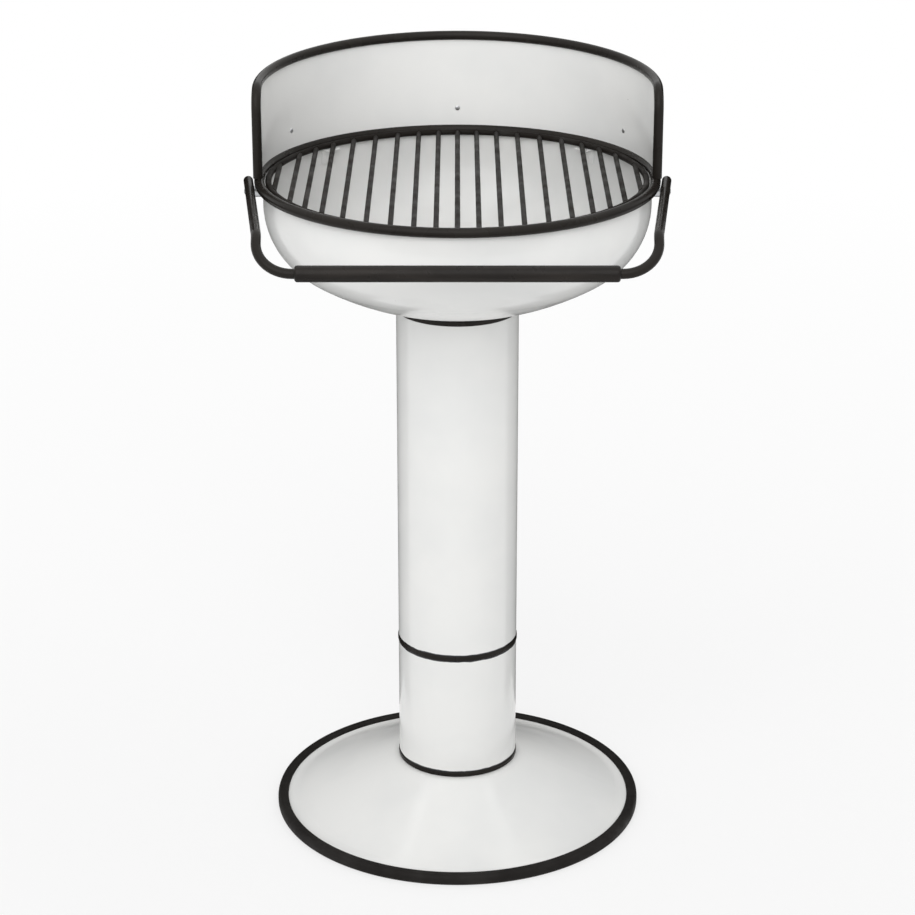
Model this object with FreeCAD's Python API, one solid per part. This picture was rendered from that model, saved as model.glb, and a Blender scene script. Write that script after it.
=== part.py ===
import FreeCAD, Part
import math
import os

from FreeCAD import Placement, Rotation, Vector

# An open charcoal barbecue on a pillar: a round base, a pillar that works as a flue,
# a fire bowl with a half-round windscreen, a round cooking grate and a bent front handle.
# Millimetres. The pillar's axis is Z, the floor is at zero, and the handle is towards -Y.

# Base
BASE_RADIUS = 218.0  # outer edge of the plate, and the middle of the rubber ring on it
BASE_SHEET = 2.0
SEAT_HEIGHT = 64.0  # flat top of the base above the floor
SEAT_MARGIN = 6.0  # from the pillar to where the plate starts to fall
SEAT_BEND = 20.0
KNEE_MARGIN = 8.0  # from the rubber ring to where the plate levels out
KNEE_BEND = 30.0
FLOOR_RING_WIDTH = 13.0
FLOOR_RING_HEIGHT = 13.0
FLOOR_RING_ROUND = 5.5
FLOOR_RING_EDGE = 3.5
EDGE_FLOOR = 7.0  # rubber left under the plate's edge

# Pillar
PILLAR_RADIUS = 72.0  # outside of the column and of the draught sleeve
COLUMN_LENGTH = 417.0
COLUMN_WALL = 1.5
FLANGE_THICKNESS = 3.0  # ring inside the column's top
FLANGE_WIDTH = 20.5
SEAL_THICKNESS = 3.0
RING_HEIGHT = 6.0  # the rings under the sleeve, under the column and on its top
RING_PROUD = 0.8  # how far those rings stand out of the pillar
RING_EDGE = 1.2

# Socket tube that carries the pillar
SLIP = 0.4  # gap all round between the socket and what slides over it
SOCKET_WALL = 2.0
SOCKET_SPIGOT = 48.0  # stretch that stands up inside the column
SPIGOT_LEAD = 6.0  # length of the tapered tip
SPIGOT_TAPER = 1.2
SOCKET_LEDGE = 2.5  # thickness of the inward ledge at the foot
SOCKET_LEDGE_WIDTH = 20.0

# Draught sleeve
SLEEVE_HEIGHT = 149.5
SLEEVE_WALL = 1.5
PORT_WIDTH = 24.0
PORT_HEIGHT = 36.0
PORT_CORNER = 6.0
PORT_MARGIN = 18.5  # sleeve left above the ports
PORT_COUNT = 3
PORT_SPACING = 40.0  # degrees
SLEEVE_TURN = 20.0  # degrees from open to shut
STOP_PIN_RADIUS = 2.5
STOP_PIN_LEVEL = 22.0  # above the sleeve's lower edge
STOP_PIN_PLAY = 0.4
STOP_PIN_RECESS = 0.5  # pin tip below the sleeve's outside
KNOB_RADIUS = 9.0
KNOB_HEAD_LENGTH = 9.5
KNOB_NECK_RADIUS = 5.5
KNOB_NECK_LENGTH = 8.0
KNOB_FLARE = 4.5  # length of the cone between neck and head
KNOB_FLARE_BEND = 2.0
KNOB_EDGE = 3.5
STUD_RADIUS = 2.5
STUD_DEPTH = 12.0  # stud inside the knob
STUD_END_GAP = 1.0

# Ash pan
PAN_TOP_PLAY = 8.0  # rolled edge to the inside of the socket
PAN_FOOT_PLAY = 5.0  # foot to the edge of the ledge
PAN_HEIGHT = 78.0
PAN_SHEET = 1.0
PAN_FOOT_BEND = 6.0
PAN_BEAD_RADIUS = 2.2
PAN_WIRE_RADIUS = 2.0
PAN_WIRE_RISE = 26.0  # handle above the pan's edge
PAN_WIRE_REACH = 14.0  # handle legs below the pan's edge
PAN_WIRE_BEND = 16.0

# Fire bowl
BOWL_RADIUS = 222.0  # inside of the wall
BOWL_SHEET = 1.5
RIM_BEAD_RADIUS = 5.5
BOWL_BAND = 21.5  # straight wall below the rolled rim
BOWL_KNUCKLE = 92.0
BOWL_CROWN = 345.0
LAND_MARGIN = 2.0  # flat land beyond the pillar

# Cooking grate
GRATE_PLAY = 1.5  # between the grate's ring and the bowl's wall
GRATE_DROP = 1.0  # middle of the ring below the middle of the rolled rim
GRATE_RING_ROD = 3.5
GRATE_BAR_ROD = 3.0
GRATE_BARS = 19
GRATE_END_GAP = 9.3  # last bar to the middle of the ring
GRATE_SPREAD = 11.0  # how far the bars open out halfway to the sides
GRATE_SKEW = 1.5  # moves that place towards the sides
REST_SHEET = 2.0
REST_SHELF = 13.0
REST_FOOT = 3.5  # lug's lower end above the knuckle
REST_BEND = 4.0
REST_WIDTH = 20.0
REST_COUNT = 4

# Fire grate
FIRE_GRATE_RADIUS = 140.0
FIRE_GRATE_ROD = 4.0
FIRE_GRATE_BAR = 3.0
FIRE_GRATE_BARS = 13
FIRE_GRATE_END_GAP = 10.0

# Windscreen
SCREEN_HEIGHT = 116.5  # middle of the rolled rim to the middle of the hoop at the back
SCREEN_FALL = 9.5  # hoop's ends below its back
SCREEN_SHEET = 1.2
HOOP_ROD = 5.5
HOOP_BEND = 24.0
CLIP_SHEET = 1.5
CLIP_PLAY = 0.3
CLIP_HEIGHT = 30.0  # strap above the rolled rim
CLIP_LEAN = 4.0  # height of the sloping stretch over the rim
CLIP_HOOK = 7.0
CLIP_BEND = 2.5
CLIP_WIDTH = 5.0  # degrees
CLIP_ANGLES = (30.0, 90.0, 150.0)
RIVET_RADIUS = 2.0
RIVET_HEAD_RADIUS = 3.5
RIVET_HEAD = 1.6
RIVET_DROP = 9.0  # below the top of the strap

# Handle
HANDLE_ROD = 5.5
HANDLE_BEND = 22.0
HANDLE_CORNER = 40.0
HANDLE_DIP = 39.0  # degrees that the front drops away
HANDLE_STRAIGHT = 1.5  # straight stretch between bend and corner
GRIP_WALL = 3.45
GRIP_LENGTH = 347.0
GRIP_END_GAP = 2.5
GRIP_END_ROUND = 3.5
HAND_GAP = 20.0  # rolled rim to grip
EAR_SHEET = 4.0
EAR_RADIUS = 10.0
EAR_ROOM = 1.3  # rod above the bolt's head
ARM_GAP = 0.6  # rod beside the rolled rim
SPACER_RADIUS = 6.5

# Fasteners and clearances
BOLT_RADIUS = 3.0
BOLT_HEAD_RADIUS = 5.5
BOLT_HEAD = 3.3
BOLT_KEY = 4.0  # across the flats of the key socket
BOLT_KEY_DEPTH = 2.0
BOLT_TIP = 1.5  # bolt beyond its nut
NUT_FLATS = 10.0
NUT_HEIGHT = 5.0
HOLE_PLAY = 0.2  # round a bolt or a rivet
THREAD_PLAY = 0.05
FLANGE_BOLTS = 4
REST_GAP = 0.2  # under a piece that lifts off or turns
FIT_GAP = 0.3  # between curved faces that meet
ROUND_LIMIT = 0.9  # share of a wall that a rounded edge may take

UP = Vector(0, 0, 1)
OUT = Vector(1, 0, 0)
CENTRE = Vector(0, 0, 0)
BACK = 90.0  # degrees, the side away from the handle


def at(radius, height):
    return Vector(radius, 0, height)


# Sizes that follow
edge_top = EDGE_FLOOR + BASE_SHEET
ring_inside = BASE_RADIUS - FLOOR_RING_WIDTH / 2
socket_outside = PILLAR_RADIUS - max(COLUMN_WALL, SLEEVE_WALL) - SLIP
socket_inside = socket_outside - SOCKET_WALL
ledge_radius = socket_inside - SOCKET_LEDGE_WIDTH
flue_radius = PILLAR_RADIUS - COLUMN_WALL - FLANGE_WIDTH
sleeve_bottom = SEAT_HEIGHT + RING_HEIGHT + REST_GAP
sleeve_top = sleeve_bottom + SLEEVE_HEIGHT
support_bottom = sleeve_top + REST_GAP
support_top = support_bottom + RING_HEIGHT
column_bottom = support_top + REST_GAP
column_top = column_bottom + COLUMN_LENGTH
spigot_top = support_top + SOCKET_SPIGOT
port_bottom = sleeve_top - PORT_MARGIN - PORT_HEIGHT
stop_pin_z = sleeve_bottom + STOP_PIN_LEVEL
knob_z = (stop_pin_z + port_bottom) / 2
past_pillar = PILLAR_RADIUS + RING_PROUD

pan_bottom = SEAT_HEIGHT + REST_GAP
pan_top = pan_bottom + PAN_HEIGHT
pan_top_radius = socket_inside - PAN_TOP_PLAY - PAN_BEAD_RADIUS
pan_foot_radius = ledge_radius - PAN_FOOT_PLAY

bowl_outside = BOWL_RADIUS + BOWL_SHEET
rim_radius = BOWL_RADIUS + RIM_BEAD_RADIUS
rim_outside = rim_radius + RIM_BEAD_RADIUS
land_radius = PILLAR_RADIUS + LAND_MARGIN
seal_bottom = column_top + RING_HEIGHT
land_height = seal_bottom + SEAL_THICKNESS
knuckle_x = bowl_outside - BOWL_KNUCKLE
crown_rise = math.sqrt((BOWL_CROWN - BOWL_KNUCKLE) ** 2 - knuckle_x**2)
crown_z = land_height + math.sqrt(BOWL_CROWN**2 - land_radius**2)
knuckle_z = crown_z - crown_rise
rim_z = knuckle_z + BOWL_BAND + RIM_BEAD_RADIUS

grate_ring = BOWL_RADIUS - GRATE_PLAY - GRATE_RING_ROD
grate_z = rim_z - GRATE_DROP
screen_bottom = rim_z + RIM_BEAD_RADIUS + FIT_GAP
hoop_z = rim_z + SCREEN_HEIGHT
hoop_rise = math.asin(SCREEN_FALL / rim_radius)
hoop_slope = Vector(0, math.cos(hoop_rise), math.sin(hoop_rise))
hoop_middle = at(0, hoop_z - SCREEN_FALL)
rivet_z = rim_z + RIM_BEAD_RADIUS + CLIP_HEIGHT - RIVET_DROP
handle_bolt_z = knuckle_z + BOWL_BAND / 2
bolt_hole = BOLT_RADIUS + HOLE_PLAY
flange_bolt_circle = flue_radius + FLANGE_WIDTH / 2
socket_bolt_circle = ledge_radius + SOCKET_LEDGE_WIDTH / 2

grip_inside = HANDLE_ROD + THREAD_PLAY
grip_outside = grip_inside + GRIP_WALL
dip = math.radians(HANDLE_DIP)
dip_run = HANDLE_BEND * math.tan(dip / 2) + HANDLE_STRAIGHT + HANDLE_CORNER
arm_z = handle_bolt_z + BOLT_HEAD_RADIUS + EAR_ROOM + HANDLE_ROD
grip_z = arm_z - dip_run * math.sin(dip)
grip_reach = rim_outside + HAND_GAP + grip_outside
arm_reach = grip_reach - dip_run * math.cos(dip)
arm_side = GRIP_LENGTH / 2 + GRIP_END_GAP + HANDLE_CORNER
# Each arm is the tangent from its front end to a circle that clears the rolled rim
arm_circle = rim_outside + ARM_GAP + HANDLE_ROD
arm_lean = math.atan2(arm_reach, arm_side) - math.acos(arm_circle / math.hypot(arm_reach, arm_side))
arm_x = arm_circle / math.cos(arm_lean)
ear_inside = arm_x - EAR_SHEET / 2
ear_outside = arm_x + EAR_SHEET / 2


def turned(shape, degrees):
    copy = shape.copy()
    copy.rotate(CENTRE, UP, degrees)
    return copy


def ring_of(shape, count, first=0.0):
    return [turned(shape, first + step * 360.0 / count) for step in range(count)]


def placed(shape, position, direction):
    copy = shape.copy()
    copy.Placement = Placement(position, Rotation(UP, direction))
    return copy


def line(start, end):
    return Part.LineSegment(start, end).toShape()


def arc(start, through, end):
    return Part.Arc(start, through, end).toShape()


def face_of(edges):
    return Part.Face(Part.Wire(Part.__sortEdges__(edges)))


def spun(face, degrees=360.0):
    return face.revolve(CENTRE, UP, degrees)


def rounded_path(points, radii):
    """Edges through the points, with a tangent arc at each inner point that has a radius."""
    edges = []
    here = points[0]
    for before, corner, after, radius in zip(points, points[1:], points[2:], radii):
        back = (before - corner).normalize()
        ahead = (after - corner).normalize()
        half = back.getAngle(ahead) / 2
        start = corner + back * (radius / math.tan(half))
        end = corner + ahead * (radius / math.tan(half))
        edges.append(line(here, start))
        if radius > 0:
            middle = corner + (back + ahead).normalize() * (radius / math.sin(half) - radius)
            edges.append(arc(start, middle, end))
        here = end
    edges.append(line(here, points[-1]))
    return edges


def sheet_section(points, radii, sheet):
    """Section of a bent sheet: one side follows the points, the other lies to their left."""
    normals = []
    for start, end in zip(points, points[1:]):
        along = (end - start).normalize()
        normals.append(Vector(-along.z, 0, along.x))
    far_points = [points[0] + normals[0] * sheet]
    far_radii = []
    for corner, before, after, radius in zip(points[1:], normals, normals[1:], radii):
        far_points.append(corner + (before + after) * (sheet / (1 + before.dot(after))))
        turns_left = before.cross(after).y < 0
        far_radii.append(radius - sheet if turns_left else radius + sheet)
    far_points.append(points[-1] + normals[-1] * sheet)
    edges = rounded_path(points, radii) + rounded_path(far_points, far_radii)
    edges.append(line(points[0], far_points[0]))
    edges.append(line(points[-1], far_points[-1]))
    return face_of(edges)


def rod(edges, radius):
    """Round rod along a path of lines and tangent arcs."""
    first = edges[0]
    start = first.valueAt(first.FirstParameter)
    direction = first.tangentAt(first.FirstParameter)
    section = Part.Wire(Part.Circle(start, direction, radius).toShape())
    return Part.Wire(edges).makePipeShell([section], True, False)


def tube(inside, outside, bottom, height):
    wall = Part.makeCylinder(outside, height, at(0, bottom))
    return wall.cut(Part.makeCylinder(inside, height, at(0, bottom)))


def radial_pin(radius, start, end, height):
    """Pin along +X between two distances from the axis."""
    return Part.makeCylinder(radius, end - start, at(start, height), OUT)


def hexagon(flats, height, bottom):
    first = at(flats / math.sqrt(3), bottom)
    corners = [Rotation(UP, 60.0 * step).multVec(first) for step in range(6)]
    return Part.Face(Part.makePolygon(corners + corners[:1])).extrude(UP * height)


def domed_pin(shank, head, rise, length):
    """Pin with a domed head up and the underside of the head at zero."""
    sphere = (head**2 + rise**2) / (2 * rise)
    half = math.asin(head / sphere) / 2
    crown = at(sphere * math.sin(half), rise - sphere + sphere * math.cos(half))
    edges = [line(at(0, -length), at(shank, -length)), line(at(shank, -length), at(shank, 0))]
    edges += [line(at(shank, 0), at(head, 0)), arc(at(head, 0), crown, at(0, rise))]
    edges.append(line(at(0, rise), at(0, -length)))
    return spun(face_of(edges))


def bolt(length):
    """Button-head bolt with a key socket."""
    key = hexagon(BOLT_KEY, BOLT_HEAD, BOLT_HEAD - BOLT_KEY_DEPTH)
    return domed_pin(BOLT_RADIUS, BOLT_HEAD_RADIUS, BOLT_HEAD, length).cut(key)


def nut():
    """Hexagon nut that stands on zero."""
    bore = Part.makeCylinder(BOLT_RADIUS + THREAD_PLAY, NUT_HEIGHT)
    return hexagon(NUT_FLATS, NUT_HEIGHT, 0).cut(bore)


def drilled(shape, drills):
    for drill in drills:
        shape = shape.cut(drill)
    return shape


def upright_drills(circle, bottom, height):
    drill = Part.makeCylinder(bolt_hole, height, at(circle, bottom))
    return ring_of(drill, FLANGE_BOLTS, 180.0 / FLANGE_BOLTS)


def upright_set(shape, circle, height, direction):
    one = placed(shape, at(circle, height), direction)
    return ring_of(one, FLANGE_BOLTS, 180.0 / FLANGE_BOLTS)


def floor_ring():
    """Rubber ring with a slot in its inner side for the plate's edge."""
    outside = ring_inside + FLOOR_RING_WIDTH
    points = [at(BASE_RADIUS, 0), at(outside, 0), at(outside, FLOOR_RING_HEIGHT)]
    points += [at(ring_inside, FLOOR_RING_HEIGHT), at(ring_inside, edge_top)]
    points += [at(BASE_RADIUS, edge_top), at(BASE_RADIUS, EDGE_FLOOR), at(ring_inside, EDGE_FLOOR)]
    points += [at(ring_inside, 0), at(BASE_RADIUS, 0)]
    lip_round = min(FLOOR_RING_ROUND, ROUND_LIMIT * (FLOOR_RING_HEIGHT - edge_top))
    radii = [FLOOR_RING_EDGE, FLOOR_RING_ROUND, lip_round, 0, 0, 0, 0, FLOOR_RING_EDGE]
    return spun(face_of(rounded_path(points, radii)))


def base_plate():
    """Pressed plate: flat seat, straight fall and a level edge in the rubber ring."""
    knee = ring_inside - KNEE_MARGIN
    seat = PILLAR_RADIUS + SEAT_MARGIN
    points = [at(BASE_RADIUS, edge_top), at(knee, edge_top), at(seat, SEAT_HEIGHT), at(0, SEAT_HEIGHT)]
    plate = spun(sheet_section(points, [KNEE_BEND, SEAT_BEND], BASE_SHEET))
    return drilled(plate, upright_drills(socket_bolt_circle, 0, SEAT_HEIGHT))


def port_cutters():
    """Cutters of the air ports, round the back of the pillar."""
    side = PORT_WIDTH / 2
    low = port_bottom
    high = port_bottom + PORT_HEIGHT
    corners = [(0, low), (side, low), (side, high), (-side, high), (-side, low), (0, low)]
    points = [Vector(0, y, z) for y, z in corners]
    face = face_of(rounded_path(points, [PORT_CORNER] * 4))
    cutter = face.extrude(OUT * past_pillar)
    first = BACK - PORT_SPACING * (PORT_COUNT - 1) / 2
    return [turned(cutter, first + PORT_SPACING * step) for step in range(PORT_COUNT)]


def socket_tube():
    ledge_top = SEAT_HEIGHT + SOCKET_LEDGE
    points = [at(ledge_radius, SEAT_HEIGHT), at(socket_outside, SEAT_HEIGHT)]
    points += [at(socket_outside, spigot_top - SPIGOT_LEAD)]
    points += [at(socket_outside - SPIGOT_TAPER, spigot_top), at(socket_inside, spigot_top)]
    points += [at(socket_inside, ledge_top), at(ledge_radius, ledge_top), points[0]]
    shape = spun(Part.Face(Part.makePolygon(points)))
    shape = drilled(shape, port_cutters())
    shape = drilled(shape, upright_drills(socket_bolt_circle, SEAT_HEIGHT, SOCKET_LEDGE))
    pin_hole = radial_pin(STOP_PIN_RADIUS, 0, PILLAR_RADIUS, stop_pin_z)
    return shape.cut(turned(pin_hole, BACK))


def pillar_ring(inside, bottom):
    """Ring that stands a little out of the pillar, with its outer edges rounded."""
    top = bottom + RING_HEIGHT
    points = [at(inside, bottom), at(past_pillar, bottom), at(past_pillar, top)]
    points += [at(inside, top), at(inside, bottom)]
    return spun(face_of(rounded_path(points, [RING_EDGE, RING_EDGE, 0])))


def draught_sleeve():
    shape = tube(PILLAR_RADIUS - SLEEVE_WALL, PILLAR_RADIUS, sleeve_bottom, SLEEVE_HEIGHT)
    shape = drilled(shape, port_cutters())
    half = STOP_PIN_RADIUS + STOP_PIN_PLAY
    low = stop_pin_z - half
    high = stop_pin_z + half
    corners = [at(socket_inside, low), at(past_pillar, low)]
    corners += [at(past_pillar, high), at(socket_inside, high), corners[0]]
    end_angle = math.degrees(math.asin(half / socket_outside))
    slot = spun(Part.Face(Part.makePolygon(corners)), SLEEVE_TURN + 2 * end_angle)
    shape = shape.cut(turned(slot, BACK - SLEEVE_TURN - end_angle))
    stud_hole = radial_pin(STUD_RADIUS, 0, past_pillar, knob_z)
    return shape.cut(turned(stud_hole, BACK))


def sleeve_stop_pin():
    tip = PILLAR_RADIUS - STOP_PIN_RECESS
    return turned(radial_pin(STOP_PIN_RADIUS, socket_inside, tip, stop_pin_z), BACK)


def draught_knob():
    """Turned knob whose foot stands on the sleeve."""
    flare = KNOB_NECK_LENGTH + KNOB_FLARE
    points = [at(0, 0), at(KNOB_NECK_RADIUS, 0), at(KNOB_NECK_RADIUS, KNOB_NECK_LENGTH)]
    end = flare + KNOB_HEAD_LENGTH
    points += [at(KNOB_RADIUS, flare), at(KNOB_RADIUS, end), at(0, end), at(0, 0)]
    radii = [0, KNOB_FLARE_BEND, KNOB_FLARE_BEND, KNOB_EDGE, 0]
    shape = spun(face_of(rounded_path(points, radii)))
    bore = Part.makeCylinder(STUD_RADIUS + THREAD_PLAY, STUD_DEPTH + STUD_END_GAP)
    shape = placed(shape.cut(bore), at(PILLAR_RADIUS, knob_z), OUT)
    return turned(shape, BACK)


def draught_knob_stud():
    """Stud welded in the sleeve, flush inside."""
    inside = PILLAR_RADIUS - SLEEVE_WALL
    return turned(radial_pin(STUD_RADIUS, inside, PILLAR_RADIUS + STUD_DEPTH, knob_z), BACK)


def ash_pan():
    points = [at(0, pan_bottom), at(pan_foot_radius, pan_bottom), at(pan_top_radius, pan_top)]
    wall = spun(sheet_section(points, [PAN_FOOT_BEND], PAN_SHEET))
    bead = Part.makeTorus(pan_top_radius, PAN_BEAD_RADIUS, at(0, pan_top))
    return wall.fuse(bead).removeSplitter()


def ash_pan_handle():
    slope = (pan_top_radius - pan_foot_radius) / PAN_HEIGHT
    wall = pan_top_radius - PAN_WIRE_REACH * slope - PAN_SHEET * math.hypot(1, slope)
    leg = min(wall, pan_top_radius - PAN_BEAD_RADIUS) - PAN_WIRE_RADIUS - FIT_GAP
    low = pan_top - PAN_WIRE_REACH
    high = pan_top + PAN_WIRE_RISE
    points = [at(leg, low), at(leg, high), at(-leg, high), at(-leg, low)]
    return rod(rounded_path(points, [PAN_WIRE_BEND] * 2), PAN_WIRE_RADIUS)


def column_tube():
    return tube(PILLAR_RADIUS - COLUMN_WALL, PILLAR_RADIUS, column_bottom, COLUMN_LENGTH)


def column_flange():
    bottom = column_top - FLANGE_THICKNESS
    shape = tube(flue_radius, PILLAR_RADIUS - COLUMN_WALL, bottom, FLANGE_THICKNESS)
    return drilled(shape, upright_drills(flange_bolt_circle, bottom, FLANGE_THICKNESS))


def bowl_collar():
    shape = pillar_ring(flue_radius, column_top)
    return drilled(shape, upright_drills(flange_bolt_circle, column_top, RING_HEIGHT))


def bowl_seal():
    shape = tube(flue_radius, PILLAR_RADIUS, seal_bottom, SEAL_THICKNESS)
    return drilled(shape, upright_drills(flange_bolt_circle, seal_bottom, SEAL_THICKNESS))


def on_circle(centre, radius, degrees):
    """Point of a section, at an angle that counts from straight down towards the outside."""
    angle = math.radians(degrees)
    return centre + at(radius * math.sin(angle), -radius * math.cos(angle))


def fire_bowl():
    """Spun bowl: flat land with the flue hole, crown, knuckle, straight band and rolled rim."""
    crown = at(0, crown_z)
    knuckle = at(knuckle_x, knuckle_z)
    bead = at(rim_radius, rim_z)
    join = math.degrees(math.atan2(knuckle_x, crown_rise))

    def wall_arcs(depth):
        """Crown and knuckle of one side of the sheet, from the land to the band."""
        floor = land_height + depth
        start_angle = math.degrees(math.acos((crown_z - floor) / (BOWL_CROWN - depth)))
        start = on_circle(crown, BOWL_CROWN - depth, start_angle)
        through = on_circle(crown, BOWL_CROWN - depth, (start_angle + join) / 2)
        meet = on_circle(crown, BOWL_CROWN - depth, join)
        bend = on_circle(knuckle, BOWL_KNUCKLE - depth, (join + 90.0) / 2)
        end = on_circle(knuckle, BOWL_KNUCKLE - depth, 90.0)
        return start, [arc(start, through, meet), arc(meet, bend, end)], end

    outer_start, outer, outer_end = wall_arcs(0.0)
    inner_start, inner, inner_end = wall_arcs(BOWL_SHEET)
    under_bead = math.sqrt(RIM_BEAD_RADIUS**2 - (RIM_BEAD_RADIUS - BOWL_SHEET) ** 2)
    bead_start = at(bowl_outside, rim_z - under_bead)
    bead_end = at(BOWL_RADIUS, rim_z)
    bead_through = bead + at(RIM_BEAD_RADIUS, 0)
    hole_low = at(flue_radius, land_height)
    hole_high = at(flue_radius, land_height + BOWL_SHEET)
    edges = [line(hole_low, outer_start), *outer, line(outer_end, bead_start)]
    edges += [arc(bead_start, bead_through, bead_end), line(bead_end, inner_end), *inner]
    edges += [line(inner_start, hole_high), line(hole_high, hole_low)]
    shape = spun(face_of(edges))
    shape = drilled(shape, upright_drills(flange_bolt_circle, land_height, BOWL_SHEET))
    handle_drill = radial_pin(bolt_hole, -rim_outside, rim_outside, handle_bolt_z)
    return shape.cut(handle_drill)


def grate_rests():
    """Bent lugs on the bowl's wall under the cooking grate's ring."""
    shelf = grate_z - GRATE_RING_ROD - REST_GAP
    points = [at(BOWL_RADIUS, knuckle_z + REST_FOOT), at(BOWL_RADIUS, shelf)]
    points += [at(BOWL_RADIUS - REST_SHELF, shelf)]
    width = math.degrees(REST_WIDTH / BOWL_RADIUS)
    lug = spun(sheet_section(points, [REST_BEND], REST_SHEET), width)
    return ring_of(lug, REST_COUNT, 180.0 / REST_COUNT - width / 2)


def bar_places(side, bars, spread):
    """Where the bars lie across a grate. The spread opens them out on the way to the sides."""
    places = [0.0]
    for step in range(1, (bars + 1) // 2):
        share = 2 * step / (bars - 1)
        place = side * share + spread * math.sin(math.pi * share**GRATE_SKEW) ** 2
        places += [place, -place]
    return places


def grill(ring, ring_rod, bar_rod, places, height):
    """Ring with straight bars along Y, welded in level with it."""
    shape = Part.makeTorus(ring, ring_rod, at(0, height))
    rods = []
    for x in places:
        half = math.sqrt(ring**2 - x**2)
        rods.append(Part.makeCylinder(bar_rod, 2 * half, Vector(x, -half, height), Vector(0, 1, 0)))
    return shape.multiFuse(rods)


def cooking_grate():
    places = bar_places(grate_ring - GRATE_END_GAP, GRATE_BARS, GRATE_SPREAD)
    return grill(grate_ring, GRATE_RING_ROD, GRATE_BAR_ROD, places, grate_z)


def fire_grate():
    """Its ring lies on the bowl's crown, so its radius sets how deep it lies."""
    clear = BOWL_CROWN - BOWL_SHEET - FIRE_GRATE_ROD - FIT_GAP
    height = crown_z - math.sqrt(clear**2 - FIRE_GRATE_RADIUS**2)
    places = bar_places(FIRE_GRATE_RADIUS - FIRE_GRATE_END_GAP, FIRE_GRATE_BARS, 0.0)
    return grill(FIRE_GRATE_RADIUS, FIRE_GRATE_ROD, FIRE_GRATE_BAR, places, height)


def hoop_side(x):
    """Corners of the hoop's path on one side: foot of the post, bend and end of the half circle."""
    bend = hoop_middle - hoop_slope * HOOP_BEND
    return [Vector(x, bend.y, screen_bottom), bend + OUT * x, hoop_middle + OUT * x]


def windscreen_hoop():
    """Rod that edges the windscreen: two posts, two bends and a half circle that rises to the back."""
    right = hoop_side(rim_radius)
    left = hoop_side(-rim_radius)[::-1]
    edges = rounded_path(right, [HOOP_BEND])
    edges.append(arc(right[-1], hoop_middle + hoop_slope * rim_radius, left[0]))
    edges += rounded_path(left, [HOOP_BEND])
    return rod(edges, HOOP_ROD)


def over_hoop():
    """Wedge over the plane in which the hoop rises."""
    low = hoop_middle - hoop_slope * HOOP_BEND
    high = hoop_middle + hoop_slope * (2 * rim_outside)
    corners = [low, high, Vector(0, low.y, high.z), low]
    half = Part.Face(Part.makePolygon(corners)).extrude(OUT * rim_outside)
    return half.fuse(half.mirror(CENTRE, OUT))


def windscreen_sheet(hoop):
    """Half cylinder with short flat ends, which meets the hoop all round."""
    inside = rim_radius - SCREEN_SHEET / 2
    section = Part.makePolygon(
        [at(inside, screen_bottom), at(inside + SCREEN_SHEET, screen_bottom)]
        + [at(inside + SCREEN_SHEET, hoop_z), at(inside, hoop_z), at(inside, screen_bottom)]
    )
    shape = spun(Part.Face(section), 180.0).cut(over_hoop())
    side = hoop_side(inside)
    foot = at(inside, screen_bottom)
    edges = rounded_path(side, [HOOP_BEND])
    edges += [line(side[-1], foot), line(foot, side[0])]
    end = face_of(edges).extrude(OUT * SCREEN_SHEET)
    shape = shape.multiFuse([end, end.mirror(CENTRE, OUT)]).removeSplitter()
    shape = shape.cut(hoop)
    hole = radial_pin(RIVET_RADIUS + HOLE_PLAY, 0, rim_outside, rivet_z)
    return drilled(shape, [turned(hole, angle) for angle in CLIP_ANGLES])


def windscreen_clips():
    """Straps down the windscreen's outside that hook round the rolled rim."""
    face = rim_radius + SCREEN_SHEET / 2
    reach = rim_outside + CLIP_PLAY
    bead_top = rim_z + RIM_BEAD_RADIUS
    under = rim_z - RIM_BEAD_RADIUS - CLIP_PLAY
    points = [at(face, bead_top + CLIP_HEIGHT), at(face, bead_top + CLIP_LEAN / 2)]
    points += [at(reach, bead_top - CLIP_LEAN / 2), at(reach, under), at(reach - CLIP_HOOK, under)]
    strap = spun(sheet_section(points, [CLIP_BEND] * 3, CLIP_SHEET), CLIP_WIDTH)
    hole = radial_pin(RIVET_RADIUS + HOLE_PLAY, 0, rim_outside + CLIP_SHEET, rivet_z)
    strap = turned(strap, -CLIP_WIDTH / 2).cut(hole)
    return [turned(strap, angle) for angle in CLIP_ANGLES]


def windscreen_rivets():
    inside = rim_radius - SCREEN_SHEET / 2
    outside = rim_radius + SCREEN_SHEET / 2 + CLIP_SHEET
    rivet = domed_pin(RIVET_RADIUS, RIVET_HEAD_RADIUS, RIVET_HEAD, outside - inside)
    rivet = placed(rivet, at(outside, rivet_z), OUT)
    return [turned(rivet, angle) for angle in CLIP_ANGLES]


def handle_rod():
    """One bent rod: level arms beside the bowl, a dip in front of it and a straight for the grip."""
    over_bolt = at(arm_x, arm_z)
    front = Vector(arm_side, -arm_reach, arm_z)
    tip = over_bolt + (over_bolt - front).normalize() * HANDLE_ROD
    right = [tip, front, Vector(arm_side, -grip_reach, grip_z)]
    left = [Vector(-p.x, p.y, p.z) for p in reversed(right)]
    radii = [HANDLE_BEND, HANDLE_CORNER, HANDLE_CORNER, HANDLE_BEND]
    bar = rod(rounded_path(right + left, radii), HANDLE_ROD)
    end_edges = [edge for edge in bar.Edges if edge.BoundBox.YMin > 0]
    bar = bar.makeFillet(ROUND_LIMIT * HANDLE_ROD, end_edges)
    return bar.multiFuse([handle_ear(), turned(handle_ear(), 180.0)]).removeSplitter()


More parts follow.
